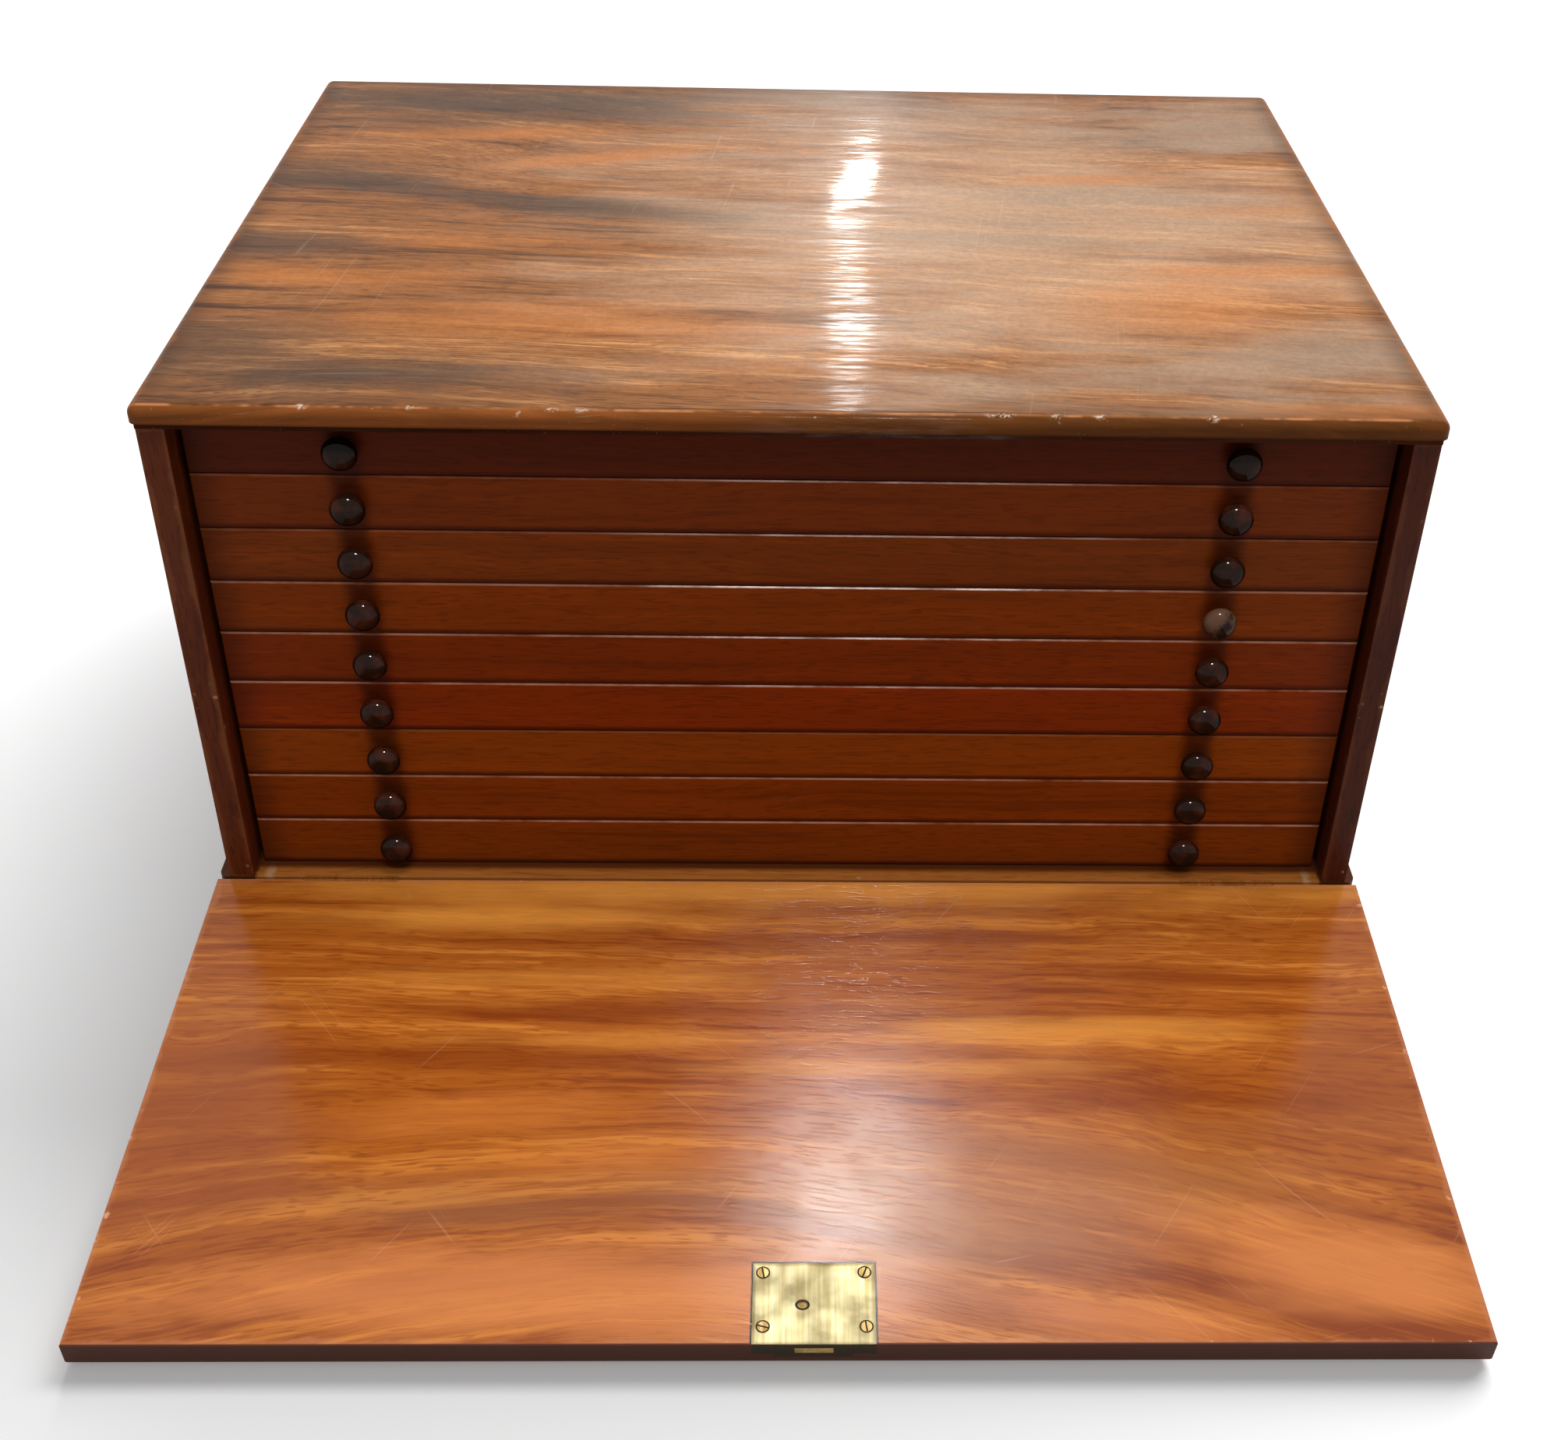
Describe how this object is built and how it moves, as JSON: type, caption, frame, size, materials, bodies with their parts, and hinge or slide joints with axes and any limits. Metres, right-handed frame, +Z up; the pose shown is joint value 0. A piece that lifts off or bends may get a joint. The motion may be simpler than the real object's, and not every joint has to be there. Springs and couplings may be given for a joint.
{
  "type": "coin collector cabinet",
  "caption": "Table-top wooden coin cabinet: shallow sliding coin trays with small turned knobs behind a hinged, lockable fall front.",
  "frame": {"origin": "centre of the plinth's underside, on the surface the cabinet stands on", "axes": "+Z up, the drawers face -Y, +X to the right of someone facing the drawers"},
  "size_m": [0.3664, 0.4292, 0.1895],
  "materials": {
    "mahogany_top": "worn satin polish",
    "mahogany_case": "satin polish",
    "mahogany_flap": "satin polish",
    "mahogany_front": "satin polish",
    "mahogany_inner": "bare wood",
    "dark_knob": "polished",
    "brass": "aged satin",
    "steel": "dull",
    "baize": "felted"
  },
  "bodies": {
    "cabinet": {"top_board": "mahogany_top", "base_board": "mahogany_case", "plinth_board": "mahogany_case", "left_side": "mahogany_case", "right_side": "mahogany_case", "back_panel": "mahogany_inner", "drawer_runners": "mahogany_inner", "hinge_base_leaves": "brass", "hinge_pins": "steel"},
    "fall_front": {"fall_front": "mahogany_flap", "hinge_flap_leaves": "brass", "lock_case": "brass", "escutcheon": "brass"},
    "lock_bolt": {"lock_bolt": "steel"},
    "drawer_01": {"drawer_front_01": "mahogany_front", "drawer_knobs_01": "dark_knob", "tray_board_01": "mahogany_inner", "baize_01": "baize", "coin_grid_01": "mahogany_inner"},
    "drawer_02": {"drawer_front_02": "mahogany_front", "drawer_knobs_02": "dark_knob", "tray_board_02": "mahogany_inner", "baize_02": "baize", "coin_grid_02": "mahogany_inner"},
    "drawer_03": {"drawer_front_03": "mahogany_front", "drawer_knobs_03": "dark_knob", "tray_board_03": "mahogany_inner", "baize_03": "baize", "coin_grid_03": "mahogany_inner"},
    "drawer_04": {"drawer_front_04": "mahogany_front", "drawer_knobs_04": "dark_knob", "tray_board_04": "mahogany_inner", "baize_04": "baize", "coin_grid_04": "mahogany_inner"},
    "drawer_05": {"drawer_front_05": "mahogany_front", "drawer_knobs_05": "dark_knob", "tray_board_05": "mahogany_inner", "baize_05": "baize", "coin_grid_05": "mahogany_inner"},
    "drawer_06": {"drawer_front_06": "mahogany_front", "drawer_knobs_06": "dark_knob", "tray_board_06": "mahogany_inner", "baize_06": "baize", "coin_grid_06": "mahogany_inner"},
    "drawer_07": {"drawer_front_07": "mahogany_front", "drawer_knobs_07": "dark_knob", "tray_board_07": "mahogany_inner", "baize_07": "baize", "coin_grid_07": "mahogany_inner"},
    "drawer_08": {"drawer_front_08": "mahogany_front", "drawer_knobs_08": "dark_knob", "tray_board_08": "mahogany_inner", "baize_08": "baize", "coin_grid_08": "mahogany_inner"},
    "drawer_09": {"drawer_front_09": "mahogany_front", "drawer_knobs_09": "dark_knob", "tray_board_09": "mahogany_inner", "baize_09": "baize", "coin_grid_09": "mahogany_inner"}
  },
  "joints": [
    {"name": "fall_front_hinge", "type": "hinge", "parent": "cabinet", "child": "fall_front", "pos_m": [0, -0.1323, 0.01765], "axis": [1, 0, 0], "range_deg": [-93.27, 0]},
    {"name": "lock_bolt_slide", "type": "slide", "parent": "fall_front", "child": "lock_bolt", "axis": [0, -0.9984, -0.0571], "range_m": [0, 0.0035]},
    {"name": "drawer_01_slide", "type": "slide", "parent": "cabinet", "child": "drawer_01", "axis": [0, -1, 0], "range_m": [0, 0.2]},
    {"name": "drawer_02_slide", "type": "slide", "parent": "cabinet", "child": "drawer_02", "axis": [0, -1, 0], "range_m": [0, 0.2]},
    {"name": "drawer_03_slide", "type": "slide", "parent": "cabinet", "child": "drawer_03", "axis": [0, -1, 0], "range_m": [0, 0.2]},
    {"name": "drawer_04_slide", "type": "slide", "parent": "cabinet", "child": "drawer_04", "axis": [0, -1, 0], "range_m": [0, 0.2]},
    {"name": "drawer_05_slide", "type": "slide", "parent": "cabinet", "child": "drawer_05", "axis": [0, -1, 0], "range_m": [0, 0.2]},
    {"name": "drawer_06_slide", "type": "slide", "parent": "cabinet", "child": "drawer_06", "axis": [0, -1, 0], "range_m": [0, 0.2]},
    {"name": "drawer_07_slide", "type": "slide", "parent": "cabinet", "child": "drawer_07", "axis": [0, -1, 0], "range_m": [0, 0.2]},
    {"name": "drawer_08_slide", "type": "slide", "parent": "cabinet", "child": "drawer_08", "axis": [0, -1, 0], "range_m": [0, 0.2]},
    {"name": "drawer_09_slide", "type": "slide", "parent": "cabinet", "child": "drawer_09", "axis": [0, -1, 0], "range_m": [0, 0.2]}
  ]
}
